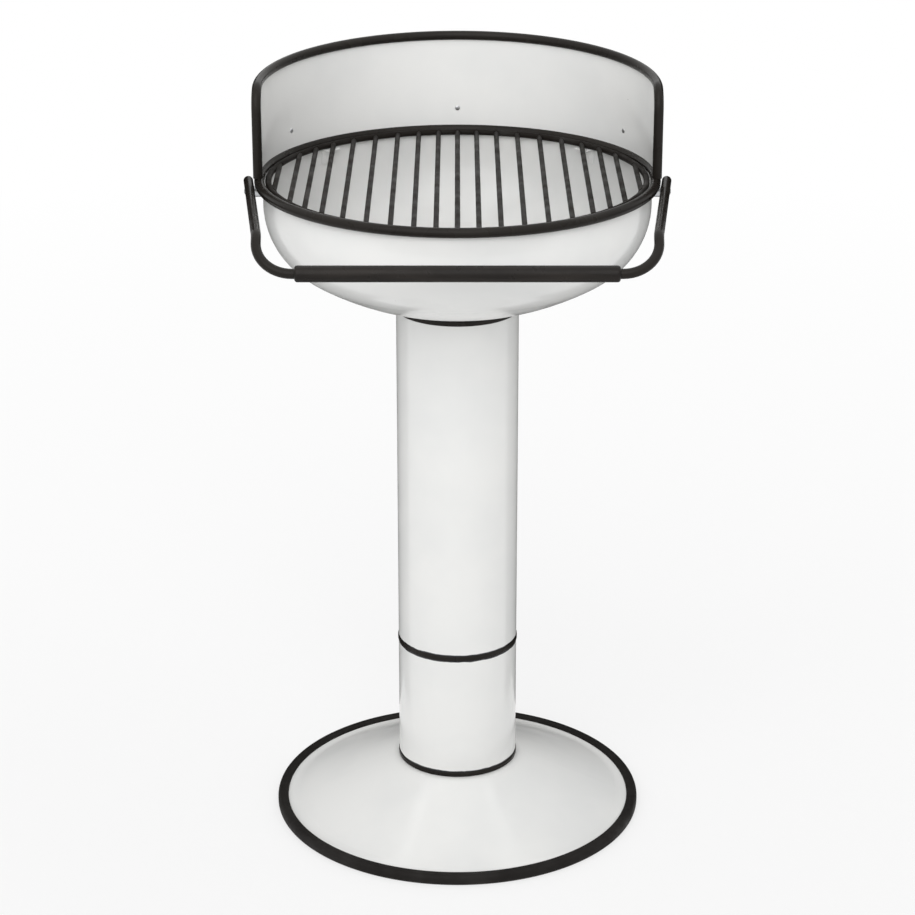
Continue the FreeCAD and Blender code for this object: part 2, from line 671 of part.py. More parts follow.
def handle_ear():
    """Plate under the end of the rod, round at its bolt."""
    drop = handle_bolt_z
    corners = [(EAR_RADIUS, drop), (EAR_RADIUS, arm_z), (-EAR_RADIUS, arm_z), (-EAR_RADIUS, drop)]
    points = [Vector(ear_inside, y, z) for y, z in corners]
    edges = [line(a, b) for a, b in zip(points, points[1:])]
    edges.append(arc(points[-1], at(ear_inside, drop - EAR_RADIUS), points[0]))
    plate = face_of(edges).extrude(OUT * EAR_SHEET)
    return plate.cut(radial_pin(bolt_hole, ear_inside, ear_outside, drop))


def handle_grip():
    half = GRIP_LENGTH / 2
    points = [at(grip_inside, 0), at(grip_inside, -half), at(grip_outside, -half)]
    points += [at(grip_outside, half), at(grip_inside, half), at(grip_inside, 0)]
    round_end = min(GRIP_END_ROUND, ROUND_LIMIT * GRIP_WALL)
    section = face_of(rounded_path(points, [0, round_end, round_end, 0]))
    return placed(spun(section), Vector(0, -grip_reach, grip_z), OUT)


def handle_spacers():
    hole = radial_pin(bolt_hole, bowl_outside, ear_inside, handle_bolt_z)
    spacer = radial_pin(SPACER_RADIUS, bowl_outside, ear_inside, handle_bolt_z).cut(hole)
    return ring_of(spacer, 2)


def handle_nut_face():
    """Where a flat nut meets the curved inside of the bowl."""
    return math.sqrt(BOWL_RADIUS**2 - NUT_FLATS**2 / 3)


def handle_bolts():
    length = ear_outside - handle_nut_face() + NUT_HEIGHT + BOLT_TIP
    return ring_of(placed(bolt(length), at(ear_outside, handle_bolt_z), OUT), 2)


def handle_nuts():
    return ring_of(placed(nut(), at(handle_nut_face(), handle_bolt_z), OUT * -1), 2)


def bowl_bolts():
    grip = BOWL_SHEET + SEAL_THICKNESS + RING_HEIGHT + FLANGE_THICKNESS
    shape = bolt(grip + NUT_HEIGHT + BOLT_TIP)
    return upright_set(shape, flange_bolt_circle, land_height + BOWL_SHEET, UP)


def bowl_nuts():
    return upright_set(nut(), flange_bolt_circle, column_top - FLANGE_THICKNESS, UP * -1)


def socket_bolts():
    shape = bolt(BASE_SHEET + SOCKET_LEDGE + NUT_HEIGHT + BOLT_TIP)
    return upright_set(shape, socket_bolt_circle, SEAT_HEIGHT - BASE_SHEET, UP * -1)


def socket_nuts():
    return upright_set(nut(), socket_bolt_circle, SEAT_HEIGHT + SOCKET_LEDGE, UP)


def write(name, shape):
    solids = shape if isinstance(shape, list) else [shape]
    solids = [solid for item in solids for solid in item.Solids]
    result = solids[0] if len(solids) == 1 else Part.makeCompound(solids)
    result.exportStep(os.path.join("parts", name + ".step"))


def main():
    os.makedirs("parts", exist_ok=True)
    hoop = windscreen_hoop()
    write("floor_ring", floor_ring())
    write("base_plate", base_plate())
    write("socket_tube", socket_tube())
    write("socket_bolts", socket_bolts())
    write("socket_nuts", socket_nuts())
    write("bearing_ring", pillar_ring(socket_outside, SEAT_HEIGHT))
    write("support_ring", pillar_ring(socket_outside, support_bottom))
    write("sleeve_stop_pin", sleeve_stop_pin())
    write("draught_sleeve", draught_sleeve())
    write("draught_knob", draught_knob())
    write("draught_knob_stud", draught_knob_stud())
    write("ash_pan", ash_pan())
    write("ash_pan_handle", ash_pan_handle())
    write("column_tube", column_tube())
    write("column_flange", column_flange())
    write("bowl_collar", bowl_collar())
    write("bowl_seal", bowl_seal())
    write("fire_bowl", fire_bowl())
    write("bowl_bolts", bowl_bolts())
    write("bowl_nuts", bowl_nuts())
    write("grate_rests", grate_rests())
    write("cooking_grate", cooking_grate())
    write("fire_grate", fire_grate())
    write("windscreen_hoop", hoop)
    write("windscreen_sheet", windscreen_sheet(hoop))
    write("windscreen_clips", windscreen_clips())
    write("windscreen_rivets", windscreen_rivets())
    write("handle_rod", handle_rod())
    write("handle_grip", handle_grip())
    write("handle_spacers", handle_spacers())
    write("handle_bolts", handle_bolts())
    write("handle_nuts", handle_nuts())


main()
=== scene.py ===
"""Looks of an open charcoal barbecue on a pillar: white vitreous enamel with near-black trim."""

import math

import bmesh
import bpy
from mathutils import Matrix, Vector


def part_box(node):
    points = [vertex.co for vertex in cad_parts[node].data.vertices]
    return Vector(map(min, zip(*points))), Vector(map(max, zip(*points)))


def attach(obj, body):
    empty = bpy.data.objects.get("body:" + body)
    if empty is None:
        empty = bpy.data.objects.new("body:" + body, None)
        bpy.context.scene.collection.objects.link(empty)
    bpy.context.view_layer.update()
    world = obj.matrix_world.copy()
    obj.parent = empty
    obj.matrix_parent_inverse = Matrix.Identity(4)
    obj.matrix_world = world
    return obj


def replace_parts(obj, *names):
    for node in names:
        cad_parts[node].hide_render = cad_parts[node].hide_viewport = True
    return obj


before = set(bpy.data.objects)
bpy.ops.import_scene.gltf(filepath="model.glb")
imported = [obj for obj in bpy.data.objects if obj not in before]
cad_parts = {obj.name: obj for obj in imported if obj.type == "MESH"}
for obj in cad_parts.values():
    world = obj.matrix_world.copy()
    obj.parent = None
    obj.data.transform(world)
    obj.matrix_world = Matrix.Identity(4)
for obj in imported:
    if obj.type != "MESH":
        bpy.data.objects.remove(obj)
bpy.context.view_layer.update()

# Camera of the drawing: metres, degrees, and millimetres of lens and film
CAMERA_BACK = 2.984
CAMERA_HEIGHT = 1.604
CAMERA_PITCH = 21.06
CAMERA_LENS = 105.2
CAMERA_SENSOR = 36.0

# Light: strengths, directions, degrees and metres
AMBIENT = 0.62
KEY_FROM = (-0.25, -0.85, 0.75)
KEY_STRENGTH = 1.0
KEY_ANGLE = 60.0
TOP_FROM = (0.2, 0.1, 1.0)
TOP_STRENGTH = 0.5
TOP_ANGLE = 80.0
FILL_PLACE = (0.0, -0.75, 1.45)
FILL_TARGET = (0.0, 0.2, 0.87)
FILL_SIZE = 0.8
FILL_SPREAD = 54.0
FILL_POWER = 0.7
FLOOR_GLOW = 0.65
FLOOR_NEAR = 0.5
FLOOR_FAR = 3.0
FLOOR_HALF = 60.0
CARD_SIDE = 0.34
CARD_BACK = 1.3
CARD_HEIGHT = 1.0
CARD_FRONT = 0.05
CARD_FLOOR_FRONT = 0.25
CARD_FLOOR_LIFT = 0.002

# Colours, linear
PURE_WHITE = (1.0, 1.0, 1.0, 1.0)
PURE_BLACK = (0.0, 0.0, 0.0, 1.0)
FLOOR_COLOUR = (0.86, 0.86, 0.86, 1.0)
WHITE = (0.84, 0.84, 0.825, 1.0)
WHITE_CLOUD = (0.79, 0.795, 0.785, 1.0)
INK = (0.0135, 0.0115, 0.0098, 1.0)
INK_CLOUD = (0.021, 0.0185, 0.016, 1.0)
GROUND_COAT = (0.02, 0.02, 0.024, 1.0)
GRATE_WORN = (0.032, 0.03, 0.028, 1.0)
RUBBER = (0.014, 0.0125, 0.0115, 1.0)
RUBBER_BLOOM = (0.024, 0.0225, 0.021, 1.0)
DUST = (0.075, 0.07, 0.063, 1.0)
PHENOLIC = (0.0125, 0.0105, 0.0092, 1.0)
PHENOLIC_FLOW = (0.022, 0.0185, 0.016, 1.0)
ZINC = (0.6, 0.61, 0.63, 1.0)
ZINC_DULL = (0.43, 0.43, 0.42, 1.0)
GALVANISED = (0.52, 0.54, 0.56, 1.0)
GALVANISED_DARK = (0.36, 0.38, 0.41, 1.0)
GLASS_YARN = (0.05, 0.047, 0.043, 1.0)
YARN_SHADE = (0.014, 0.0132, 0.012, 1.0)
SCALE_GREY = (0.1, 0.09, 0.085, 1.0)
SCALE_BROWN = (0.12, 0.075, 0.05, 1.0)
SCALE_BLUE = (0.07, 0.08, 0.1, 1.0)

# Finishes: lengths in metres, the rest as the shader counts it
MM = 0.001
ENAMEL_IOR = 1.52
RESIN_IOR = 1.6
WHITE_GLOSS = 0.5
BLACK_GLOSS = 0.11
GRATE_GLOSS = 0.04
YARN_GLOSS = 0.2
WHITE_ROUGH = 0.12
BLACK_ROUGH = 0.2
ENAMEL_UNEVEN = 1.8
YARN_ROUGH = 0.85
SCALE_METAL = 0.6
FLECK_SHARE = 0.1
EDGE_WIDTH = 1.2 * MM
EDGE_END = 1.8 * MM
EDGE_RAGGED = 0.5 * MM
RIM_PAINT = 6.16 * MM
RIM_PAINT_END = 6.6 * MM
DUST_LOW = 0.5 * MM
DUST_HIGH = 4.0 * MM
DUST_MOST = 0.8
YARNS_ROUND = 240.0
YARN_HEIGHT = 1.5 * MM
FLOW_STRETCH = (14.0, 110.0, 110.0)
SCRATCH_STRETCH = (2500.0, 2500.0, 300.0)

# Depths of the finishes' relief
ORANGE_PEEL = 0.015 * MM
GRATE_GRAIN = 0.05 * MM
RUBBER_GRAIN = 0.06 * MM
RESIN_GRAIN = 0.02 * MM
ZINC_SCRATCH = 0.02 * MM
SPANGLE_DEPTH = 0.03 * MM
YARN_DEPTH = 0.4 * MM
SCALE_DEPTH = 0.2 * MM

# Fineness of the meshes, in degrees where it is an angle
SPUN_SIDES = 240
CORNER_STEPS = 9
BEAD_SIDES = 8
BEAD_END = 0.4
DOME_SIDES = 20
DOME_RINGS = 5
SHARP_ANGLE = 40.0
SAME_POINT = 0.001 * MM
SORT_DIGITS = 5
WELD_RIPPLE = 0.25

# Rubber ring on the floor, and the plate's edge in its slot
RING_WIDTH = 13.0 * MM
RING_ROUND = 5.5 * MM
RING_LIP = 3.6 * MM
RING_FOOT = 3.5 * MM
RING_JOINT = 0.5 * MM
PLATE_RADIUS = 218.0 * MM
PLATE_LOW = 7.0 * MM
PLATE_HIGH = 9.0 * MM

# Pillar, its seams and its air ports
BACK = 90.0
SLEEVE_SEAM = 160.0
SEAM = 1.0 * MM
SEAM_SUNK = 0.45 * MM
SEAM_STEP = 2.5 * MM
SEAM_END = 1.0 * MM
SEAM_RIPPLE = 0.08
PORT_ANGLES = (50.0, 90.0, 130.0)
PORT_HALF_WIDTH = 12.0 * MM
PORT_HALF_HEIGHT = 18.0 * MM
PORT_CORNER = 6.0 * MM
PORT_CORNER_STEPS = 6
PORT_BELOW_TOP = 36.5 * MM
PORT_LIP = 0.7 * MM

# Draught knob: radii, and heights above the sleeve
KNOB_BORE = 2.55 * MM
KNOB_BORE_DEPTH = 13.0 * MM
KNOB_NECK = 5.5 * MM
KNOB_NECK_END = 7.2 * MM
KNOB_FLARE = ((5.9 * MM, 8.4 * MM), (7.4 * MM, 11.2 * MM), (8.7 * MM, 12.4 * MM))
KNOB_HEAD = 9.0 * MM
KNOB_HEAD_LOW = 13.3 * MM
KNOB_HEAD_HIGH = 18.5 * MM
KNOB_CROWN = 3.5 * MM
KNOB_CROWN_STEPS = 6
KNOB_TOP_RADII = (3.0 * MM, 0.5 * MM)
KNOB_FLUTES = 14
KNOB_FLUTE_DEPTH = 0.07
KNOB_FLUTES_LOW = 11.0 * MM
KNOB_FLUTES_HIGH = 21.0 * MM
KNOB_SIDES = 112

# Bowl's rim and the lugs in the bowl
RIM_BEAD = 5.5 * MM
RIM_COAT = 0.2 * MM
RIM_STEPS = 36
REST_ANGLES = (45.0, 135.0, 225.0, 315.0)
REST_SHEET = 2.0 * MM
REST_WELD = 2.4 * MM
REST_WELD_RISE = 0.4 * MM
REST_WELD_LIFT = 7.0 * MM
REST_WELD_TURN = 1.4

# Windscreen. The rod is the handle's too
ROD = 5.5 * MM
SHEET = 1.2 * MM
HOOP_FALL = 9.5 * MM
TACK = 1.1 * MM
TACK_PROUD = 0.3 * MM
TACK_ANGLES = range(15, 170, 25)
TACK_STEP = 0.4
TACK_HALF_STEPS = 5
CLIP_ANGLES = (30.0, 90.0, 150.0)
RIVET_BELOW_CLIP = 9.0 * MM
RIVET_TAIL = 3.0 * MM
RIVET_TAIL_RISE = 0.9 * MM

# Handle
ARM_LEAN = math.radians(6.25)
EAR_SHEET = 4.0 * MM
EAR_WELD = 1.2 * MM
EAR_WELD_RIPPLE = 0.2
EAR_WELD_START = -9.0 * MM
EAR_WELD_INSIDE_END = -4.0 * MM
EAR_WELD_OUTSIDE_END = 2.0 * MM
GRIP_LINE = 0.3 * MM
GRIP_LINE_ANGLES = (219.0, 39.0)
GRIP_LINE_END = 4.0 * MM
GRIP_LINE_STEPS = 40
GRIP_LINE_SIDES = 6

# Grates: radii of their rods, bars, and how the bars are set out
COOKING_RING_ROD = 3.5 * MM
COOKING_BAR_ROD = 3.0 * MM
COOKING_BARS = 19
COOKING_END_GAP = 9.3 * MM
COOKING_SPREAD = 11.0 * MM
COOKING_SKEW = 1.5
FIRE_RING_ROD = 4.0 * MM
FIRE_BAR_ROD = 3.0 * MM
FIRE_BARS = 13
FIRE_END_GAP = 10.0 * MM
BAR_WELD = 0.9 * MM
BAR_WELD_STEPS = 14
BAR_WELD_TUCK = 30.0

# Ash pan
PAN_WELD = 1.1 * MM
PAN_WELD_OFF = 1.4 * MM
PAN_WELD_LIFT = 1.0 * MM
PAN_WELD_LEAN = 0.8 * MM
PAN_WELD_LENGTH = 6.0 * MM
PAN_WELD_STEPS = 6

# Nuts
NUT_FLATS = 10.0 * MM
NUT_HEIGHT = 5.0 * MM
NUT_CROWN = 0.96
NUT_SINK = 0.5 * MM
NUT_CHAMFER = math.radians(30)
NUT_STEP = 10
BOLT = 3.0 * MM

# Places taken from the solids
column_low, column_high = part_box("column_tube")
sleeve_low, sleeve_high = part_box("draught_sleeve")
pillar_radius = column_high.x
ring_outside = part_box("floor_ring")[1].x
ring_inside = ring_outside - RING_WIDTH
ring_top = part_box("floor_ring")[1].z
rim_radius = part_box("fire_bowl")[1].x - RIM_BEAD
rim_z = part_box("fire_bowl")[1].z - RIM_BEAD
hoop_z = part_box("windscreen_hoop")[1].z - ROD
rivet_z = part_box("windscreen_clips")[1].z - RIVET_BELOW_CLIP


def put(tree, socket, value):
    """Links the socket to another one, or sets it to a number or a colour."""
    if isinstance(value, bpy.types.NodeSocket):
        tree.links.new(value, socket)
    else:
        socket.default_value = value


def add(tree, kind, inputs=None, **settings):
    """New shader node with its settings and inputs."""
    node = tree.nodes.new("ShaderNode" + kind)
    for setting, value in settings.items():
        setattr(node, setting, value)
    for socket, value in (inputs or {}).items():
        put(tree, node.inputs[socket], value)
    return node


class Finish:
    """A node material, with the few kinds of node that the finishes share."""

    def __init__(self, name, constants):
        self.material = bpy.data.materials.new(name)
        self.material.use_nodes = True
        self.tree = self.material.node_tree
        self.shader = self.tree.nodes["Principled BSDF"]
        self.place = add(self.tree, "TexCoord").outputs["Object"]
        for socket, value in constants.items():
            self.set(socket, value)

    def set(self, socket, value):
        put(self.tree, self.shader.inputs[socket], value)

    def maths(self, operation, first, second=0.0):
        return add(self.tree, "Math", {0: first, 1: second}, operation=operation).outputs[0]

    def stretched(self, scale):
        return add(self.tree, "Mapping", {"Vector": self.place, "Scale": scale}).outputs["Vector"]

    def noise(self, scale, detail=2.0, place=None):
        inputs = {"Vector": place or self.place, "Scale": scale, "Detail": detail}
        return add(self.tree, "TexNoise", inputs).outputs["Fac"]

    def cells(self, scale):
        return add(self.tree, "TexVoronoi", {"Vector": self.place, "Scale": scale}).outputs

    def span(self, value, low, high, to_low=0.0, to_high=1.0):
        """Maps the range from low to high onto another one, and holds its ends."""
        inputs = {"Value": value, "From Min": low, "From Max": high, "To Min": to_low, "To Max": to_high}
        return add(self.tree, "MapRange", inputs).outputs["Result"]

    def fade(self, value, start, end):
        return self.span(value, start, end, 1.0, 0.0)

    def spread(self, noise, low, high):
        """Maps a noise, most of which lies between 0.3 and 0.7, onto a range."""
        return self.span(noise, 0.3, 0.7, low, high)

    def blend(self, factor, first, second):
        node = add(self.tree, "Mix", data_type="RGBA")
        sockets = {socket.identifier: socket for socket in node.inputs}
        put(self.tree, sockets["Factor_Float"], factor)
        put(self.tree, sockets["A_Color"], first)
        put(self.tree, sockets["B_Color"], second)
        return next(socket for socket in node.outputs if socket.identifier == "Result_Color")

    def axes(self):
        split = add(self.tree, "SeparateXYZ", {"Vector": self.place})
        return split.outputs["X"], split.outputs["Y"], split.outputs["Z"]

    def length(self, first, second):
        squares = self.maths("ADD", self.maths("POWER", first, 2), self.maths("POWER", second, 2))
        return self.maths("SQRT", squares)

    def rough(self, low, high, scale):
        self.set("Roughness", self.spread(self.noise(scale), low, high))

    def relief(self, height, depth):
        """Bump of a height between 0 and 1 that is worth a depth in metres."""
        bump = add(self.tree, "Bump", {"Height": height, "Distance": depth})
        self.set("Normal", bump.outputs["Normal"])


def enamel(name, colour, cloud, roughness, gloss, edges=(), rim=False):
    """Fired enamel: uneven thickness, flecks, orange peel, and dark ground coat along cut edges."""
    finish = Finish(name, {"IOR": ENAMEL_IOR, "Specular IOR Level": gloss})
    clouds = finish.span(finish.noise(scale=9.0, detail=3.0), low=0.4, high=0.7)
    paint = finish.blend(clouds, colour, cloud)
    cell = finish.cells(scale=85.0)
    chosen = finish.maths("LESS_THAN", cell["Color"], FLECK_SHARE)
    dot = finish.fade(cell["Distance"], start=0.03, end=0.055)
    paint = finish.blend(finish.maths("MULTIPLY", chosen, dot), paint, GROUND_COAT)
    x, y, z = finish.axes()
    ragged = finish.spread(finish.noise(scale=70.0, detail=3.0), -EDGE_RAGGED, EDGE_RAGGED)
    for edge in edges:
        off = finish.maths("ABSOLUTE", finish.maths("SUBTRACT", z, edge))
        near = finish.fade(finish.maths("ADD", off, ragged), EDGE_WIDTH, EDGE_END)
        paint = finish.blend(near, paint, GROUND_COAT)
    if rim:
        across = finish.maths("SUBTRACT", finish.length(x, y), rim_radius)
        off = finish.length(across, finish.maths("SUBTRACT", z, rim_z))
        near = finish.fade(finish.maths("ADD", off, ragged), RIM_PAINT, RIM_PAINT_END)
        paint = finish.blend(near, paint, INK)
    finish.set("Base Color", paint)
    finish.rough(roughness, roughness * ENAMEL_UNEVEN, scale=30.0)
    finish.relief(finish.noise(scale=330.0, detail=1.0), ORANGE_PEEL)
    return finish.material


def white_enamel(name, edges=(), rim=False):
    return enamel(name, WHITE, WHITE_CLOUD, WHITE_ROUGH, WHITE_GLOSS, edges, rim)


def grate_enamel():
    """Black enamel that heat and scrapers have dulled in patches."""
    finish = Finish("enamel_grate", {"IOR": ENAMEL_IOR, "Specular IOR Level": GRATE_GLOSS})
    worn = finish.span(finish.noise(scale=24.0, detail=4.0), low=0.52, high=0.72)
    finish.set("Base Color", finish.blend(worn, INK, GRATE_WORN))
    finish.rough(low=0.28, high=0.55, scale=40.0)
    finish.relief(finish.noise(scale=420.0), GRATE_GRAIN)
    return finish.material


def rubber():
    """Moulded rubber with a pale bloom, a fine grain and dust along the floor."""
    finish = Finish("rubber", {"Specular IOR Level": BLACK_GLOSS})
    height = finish.axes()[2]
    bloom = finish.span(finish.noise(scale=18.0, detail=4.0), low=0.45, high=0.75)
    body = finish.blend(bloom, RUBBER, RUBBER_BLOOM)
    near_floor = finish.span(height, DUST_LOW, DUST_HIGH, DUST_MOST, 0.0)
    patches = finish.span(finish.noise(scale=55.0, detail=5.0), low=0.35, high=0.65)
    dusty = finish.maths("MULTIPLY", near_floor, patches)
    finish.set("Base Color", finish.blend(dusty, body, DUST))
    finish.rough(low=0.5, high=0.75, scale=60.0)
    finish.relief(finish.noise(scale=1400.0), RUBBER_GRAIN)
    return finish.material


def phenolic():
    """Moulded resin with faint flow marks along the grip."""
    finish = Finish("phenolic", {"IOR": RESIN_IOR, "Specular IOR Level": BLACK_GLOSS})
    flow = finish.noise(scale=1.0, detail=4.0, place=finish.stretched(FLOW_STRETCH))
    marks = finish.span(flow, low=0.42, high=0.72)
    finish.set("Base Color", finish.blend(marks, PHENOLIC, PHENOLIC_FLOW))
    finish.rough(low=0.24, high=0.42, scale=90.0)
    finish.relief(finish.noise(scale=800.0), RESIN_GRAIN)
    return finish.material


def zinc():
    """Bright zinc plate with dull patches and fine scratches."""
    finish = Finish("zinc", {"Metallic": 1.0})
    dull = finish.span(finish.noise(scale=160.0, detail=4.0), low=0.42, high=0.68)
    finish.set("Base Color", finish.blend(dull, ZINC, ZINC_DULL))
    finish.rough(low=0.24, high=0.48, scale=220.0)
    scratches = finish.noise(scale=1.0, detail=3.0, place=finish.stretched(SCRATCH_STRETCH))
    finish.relief(scratches, ZINC_SCRATCH)
    return finish.material


def galvanised():
    """Hot-dip zinc with its spangle of crystals."""
    finish = Finish("galvanised", {"Metallic": 1.0})
    crystal = finish.cells(scale=110.0)
    shade = finish.span(crystal["Color"], low=0.0, high=1.0)
    finish.set("Base Color", finish.blend(shade, GALVANISED, GALVANISED_DARK))
    finish.set("Roughness", finish.span(shade, low=0.0, high=1.0, to_low=0.3, to_high=0.55))
    grain = finish.noise(scale=500.0)
    finish.relief(finish.maths("ADD", crystal["Distance"], grain), SPANGLE_DEPTH)
    return finish.material


def woven_gasket():
    """Flat braid of glass yarn round the flue, with painted shade where the weave dips between the yarns.
    """
    finish = Finish("gasket", {"Specular IOR Level": YARN_GLOSS, "Roughness": YARN_ROUGH})
    x, y, z = finish.axes()
    round_way = finish.maths("MULTIPLY", finish.maths("ARCTAN2", y, x), YARNS_ROUND)
    up_way = finish.maths("MULTIPLY", z, 2 * math.pi / YARN_HEIGHT)
    weave = finish.maths("MULTIPLY", finish.maths("SINE", round_way), finish.maths("SINE", up_way))
    yarn = finish.span(weave, low=-1.0, high=1.0)
    fibres = finish.spread(finish.noise(scale=300.0, detail=3.0), low=0.6, high=1.0)
    weave_relief_and_shade = finish.maths("MULTIPLY", yarn, fibres)
    # Painted shade: the braid goes dark where the weave dips between the yarns, and the fibres vary its
    # tone at random.
    finish.set("Base Color", finish.blend(weave_relief_and_shade, YARN_SHADE, GLASS_YARN))
    finish.relief(weave_relief_and_shade, YARN_DEPTH)
    return finish.material


def fire_scale():
    """Bare steel that the fire has scaled grey, brown and blue."""
    finish = Finish("fire_scale", {"Metallic": SCALE_METAL})
    brown = finish.span(finish.noise(scale=14.0, detail=4.0), low=0.42, high=0.62)
    blue = finish.span(finish.noise(scale=22.0, detail=3.0), low=0.58, high=0.7)
    tint = finish.blend(brown, SCALE_GREY, SCALE_BROWN)
    finish.set("Base Color", finish.blend(blue, tint, SCALE_BLUE))
    finish.rough(low=0.5, high=0.8, scale=120.0)
    finish.relief(finish.noise(scale=380.0, detail=4.0), SCALE_DEPTH)
    return finish.material


def dress(material, *nodes):
    for node in nodes:
        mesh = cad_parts[node].data
        mesh.materials.clear()
        mesh.materials.append(material)


def polar(radius, degrees, height):
    angle = math.radians(degrees)
    return Vector((radius * math.cos(angle), radius * math.sin(angle), height))


def straight(start, end, steps):
    return [start.lerp(end, step / steps) for step in range(steps + 1)]


def corner(radius, height, size, first, steps=CORNER_STEPS):
    """Quarter round about a point of a section, as radii and heights, from an angle in degrees on."""
    angles = [math.radians(first + 90 * step / steps) for step in range(steps + 1)]
    return [(radius + size * math.cos(angle), height + size * math.sin(angle)) for angle in angles]


def facing(position, normal):
    """Place whose Z axis points along the normal."""
    return Matrix.Translation(position) @ normal.to_track_quat("Z", "Y").to_matrix().to_4x4()


def skin(rings, wrap=False):
    """Points and faces over closed rings of equally many points. Open ends get a cap."""
    sides = len(rings[0])
    points = [point for ring in rings for point in ring]
    faces = []
    for index in range(len(rings) if wrap else len(rings) - 1):
        here = index * sides
        there = (index + 1) % len(rings) * sides
        for side in range(sides):
            after = (side + 1) % sides
            faces.append((here + side, here + after, there + after, there + side))
    if not wrap:
        faces.append(tuple(reversed(range(sides))))
        faces.append(tuple(range(len(points) - sides, len(points))))
    return points, faces


def bead(path, radius, ripple=0.0, sides=BEAD_SIDES, closed=False):
    """Round bead along a path. The ripple swells every other ring, as weld metal does."""
    count = len(path)
    turns = [2 * math.pi * side / sides for side in range(sides)]
    across = None
    rings = []
    for index, here in enumerate(path):
        before = path[index - 1] if index or closed else here
        after = path[(index + 1) % count] if index + 1 < count or closed else here
        along = (after - before).normalized()
        across = across or along.orthogonal()
        across = (across - along * across.dot(along)).normalized()
        over = along.cross(across)
        size = radius * (1 + ripple * (index % 2))
        if not closed and index in (0, count - 1):
            size = radius * BEAD_END
        rings.append([here + (across * math.cos(turn) + over * math.sin(turn)) * size for turn in turns])
    return skin(rings, closed)


def lathe(profile, place, sides, flutes=None, closed=False):
    """Spun profile of radius and height. Flutes give the share of a radius that is left at an angle."""
    rings = []
    for radius, height in profile:
        ring = []
        for side in range(sides):
            angle = 2 * math.pi * side / sides
            reach = radius * (flutes(angle, height) if flutes else 1.0)
            ring.append(place @ Vector((reach * math.cos(angle), reach * math.sin(angle), height)))
        rings.append(ring)
    return skin(rings, closed)


def dome(position, normal, radius, rise):
    """Low round head that stands a little into the face it sits on."""
    profile = [(radius, -rise / 2)]
    for ring in range(DOME_RINGS):
        angle = math.pi / 2 * ring / DOME_RINGS
        profile.append((radius * math.cos(angle), rise * math.sin(angle)))
    return lathe(profile, facing(position, normal), DOME_SIDES)


def piece(name, parts, material, body):
    """One object of all the parts, which rides on a body."""
    shape = bmesh.new()
    for points, faces in parts:
        corners = [shape.verts.new(point) for point in points]
        for face in faces:
            shape.faces.new([corners[index] for index in face])
    bmesh.ops.recalc_face_normals(shape, faces=shape.faces)
    mesh = bpy.data.meshes.new(name)
    shape.to_mesh(mesh)
    shape.free()
    mesh.materials.append(material)
    mesh.shade_smooth()
    mesh.set_sharp_from_angle(angle=math.radians(SHARP_ANGLE))
    item = bpy.data.objects.new(name, mesh)
    bpy.context.scene.collection.objects.link(item)
    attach(item, body)
    return item


def solid_centres(node):
    """Middle of each separate solid of a CAD node."""
    shape = bmesh.new()
    shape.from_mesh(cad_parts[node].data)
    bmesh.ops.remove_doubles(shape, verts=shape.verts, dist=SAME_POINT)
    left = set(shape.verts)
    centres = []
    while left:
        island = []
        found = [left.pop()]
        while found:
            vertex = found.pop()
            island.append(vertex.co)
            near = {link.other_vert(vertex) for link in vertex.link_edges} & left
            left -= near
            found += near
        low = Vector([min(place[axis] for place in island) for axis in range(3)])
        high = Vector([max(place[axis] for place in island) for axis in range(3)])
        centres.append((low + high) / 2)
    shape.free()
    return sorted(centres, key=lambda centre: centre.to_tuple(SORT_DIGITS))


def hex_nut(place):
    """Nut with chamfered corners and a countersunk bore, its middle at the place."""
    flat = NUT_FLATS / 2
    crown = flat * NUT_CROWN
    half = NUT_HEIGHT / 2
    angles = [math.radians(turn) for turn in range(0, 360, NUT_STEP)]
    reach = [flat / math.cos(angle % math.radians(60) - math.radians(30)) for angle in angles]
    slope = [(far - crown) * math.tan(NUT_CHAMFER) for far in reach]
    upper = [
        [(BOLT, half - NUT_SINK) for far in reach],
        [(BOLT + NUT_SINK, half) for far in reach],
        [(crown, half) for far in reach],
        [(far, half - drop) for far, drop in zip(reach, slope)],
    ]
    lower = [[(far, -height) for far, height in level] for level in reversed(upper)]
    rings = []
    for level in upper + lower:
        ring = []
        for angle, (far, height) in zip(angles, level):
            ring.append(place @ Vector((far * math.cos(angle), far * math.sin(angle), height)))
        rings.append(ring)
    return skin(rings, wrap=True)


def upright_nuts(node):
    """Nuts on upright bolts, each with a corner away from the pillar's axis."""
    nuts = []
    for centre in solid_centres(node):
        turn = Matrix.Rotation(math.atan2(centre.y, centre.x), 4, "Z")
        nuts.append(hex_nut(Matrix.Translation(centre) @ turn))
    return nuts


def bar_places(side, bars, spread):
    """Where the bars lie across a grate. The spread opens them out on the way to the sides."""
    places = [0.0]
    for step in range(1, (bars + 1) // 2):
        share = 2 * step / (bars - 1)
        place = side * share + spread * math.sin(math.pi * share**COOKING_SKEW) ** 2
        places += [place, -place]
    return places


def bar_welds(node, ring_rod, bar_rod, bars, end_gap, spread=0.0):
    """Weld beads over both ends of each bar, where it runs into the grate's ring."""
    low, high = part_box(node)
    ring = high.x - ring_rod
    middle = (low.z + high.z) / 2
    sweep = 180 + 2 * BAR_WELD_TUCK
    welds = []
    for place in bar_places(ring - end_gap, bars, spread):
        for side in (-1, 1):
            path = []
            for step in range(BAR_WELD_STEPS + 1):
                angle = math.radians(sweep * step / BAR_WELD_STEPS - BAR_WELD_TUCK)
                x = place + bar_rod * math.cos(angle)
                z = bar_rod * math.sin(angle)
                inner = ring - math.sqrt(ring_rod**2 - z**2)
                path.append(Vector((x, side * math.sqrt(inner**2 - x**2), middle + z)))
            welds.append(bead(path, BAR_WELD, WELD_RIPPLE))
    return welds


